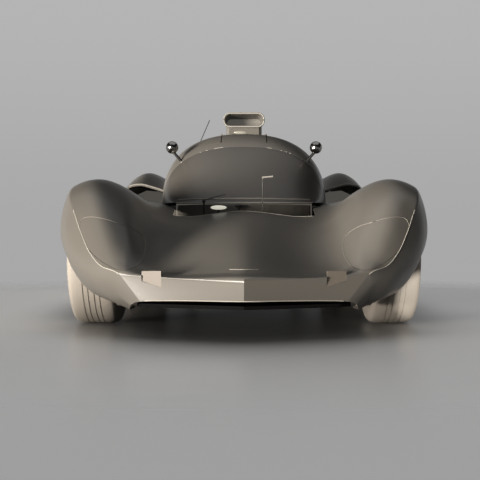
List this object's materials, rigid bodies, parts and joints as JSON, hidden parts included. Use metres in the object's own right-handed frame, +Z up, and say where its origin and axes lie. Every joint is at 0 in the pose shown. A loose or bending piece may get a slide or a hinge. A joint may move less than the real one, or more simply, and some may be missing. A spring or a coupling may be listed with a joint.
{
  "type": "closed sports prototype race car",
  "caption": "closed two-seat mid-engined race car with a bubble cabin, roof scoop, upward-opening doors, steered front wheels and rolling tyres",
  "frame": {"origin": "centre of the overall box on the ground", "axes": "+X is the car's left, the nose points to -Y, +Z is up"},
  "size_m": [1.7268, 4.161, 1.213],
  "materials": {
    "body": "satin",
    "chrome": "polished",
    "dark": "matte",
    "exhaust": "dull",
    "frame": "matte",
    "lamp": "gloss",
    "metal": "cast",
    "red": "gloss",
    "rim": "satin",
    "screen": "gloss",
    "steel": "brushed",
    "trim": "woven",
    "tyre": "matte"
  },
  "bodies": {
    "chassis": {"front_body": "body", "headlamp_covers": "body", "nose_lamps": "lamp", "sill_panels": "body", "rear_body": "body", "fastback": "body", "spoiler": "body", "windscreen": "screen", "cabin_frame": "body", "roof_scoop": "body", "mirrors": "chrome", "antenna": "frame", "wiper": "dark", "cowl_mirror": "chrome", "tub": "frame", "rear_frame": "frame", "engine_block": "metal", "gearbox": "metal", "seats": "trim", "dashboard": "dark", "tail_panel": "dark", "tail_lamps": "red", "exhausts": "exhaust", "intake_ducts": "body", "front_suspension": "frame", "rear_uprights": "metal", "rear_suspension": "frame", "drive_shafts": "steel"},
    "door_left": {"door_left": "body", "door_glass_left": "screen"},
    "door_right": {"door_right": "body", "door_glass_right": "screen"},
    "knuckle_left": {"front_knuckle_left": "metal"},
    "knuckle_right": {"front_knuckle_right": "metal"},
    "wheel_front_left": {"tyre_front_left": "tyre", "rim_front_left": "rim"},
    "wheel_front_right": {"tyre_front_right": "tyre", "rim_front_right": "rim"},
    "wheel_rear_left": {"tyre_rear_left": "tyre", "rim_rear_left": "rim"},
    "wheel_rear_right": {"tyre_rear_right": "tyre", "rim_rear_right": "rim"},
    "steering": {"steering_wheel": "dark"},
    "rack": {"steering_rack": "metal"}
  },
  "joints": [
    {"name": "steer_left", "type": "hinge", "parent": "chassis", "child": "knuckle_left", "pos_m": [0.595, -1.13, 0.315], "axis": [0, 0, 1], "range_deg": [-14, 14]},
    {"name": "steer_right", "type": "hinge", "parent": "chassis", "child": "knuckle_right", "pos_m": [-0.595, -1.13, 0.315], "axis": [0, 0, 1], "range_deg": [-14, 14]},
    {"name": "steering_turn", "type": "hinge", "parent": "chassis", "child": "steering", "pos_m": [-0.2, -0.27, 0.52], "axis": [0, 0.9397, 0.342], "range_deg": [-168, 168]},
    {"name": "rack_slide", "type": "slide", "parent": "chassis", "child": "rack", "axis": [1, 0, 0], "range_m": [-0.03, 0.03]},
    {"name": "spin_front_left", "type": "hinge", "parent": "knuckle_left", "child": "wheel_front_left", "pos_m": [0.675, -1.13, 0.315], "axis": [1, 0, 0], "continuous": true},
    {"name": "spin_front_right", "type": "hinge", "parent": "knuckle_right", "child": "wheel_front_right", "pos_m": [-0.675, -1.13, 0.315], "axis": [1, 0, 0], "continuous": true},
    {"name": "spin_rear_left", "type": "hinge", "parent": "chassis", "child": "wheel_rear_left", "pos_m": [0.69, 1.18, 0.34], "axis": [1, 0, 0], "continuous": true},
    {"name": "spin_rear_right", "type": "hinge", "parent": "chassis", "child": "wheel_rear_right", "pos_m": [-0.69, 1.18, 0.34], "axis": [1, 0, 0], "continuous": true},
    {"name": "door_left_lift", "type": "hinge", "parent": "chassis", "child": "door_left", "pos_m": [0.13, 0.11, 1.004], "axis": [0, -1, 0], "range_deg": [0, 75]},
    {"name": "door_right_lift", "type": "hinge", "parent": "chassis", "child": "door_right", "pos_m": [-0.13, 0.11, 1.004], "axis": [0, 1, 0], "range_deg": [0, 75]}
  ],
  "couplings": [
    {"joint": "steer_right", "follows": "steer_left", "ratio": 1},
    {"joint": "steering_turn", "follows": "steer_left", "ratio": 12},
    {"joint": "rack_slide", "follows": "steer_left", "m_per_rad": 0.12}
  ]
}
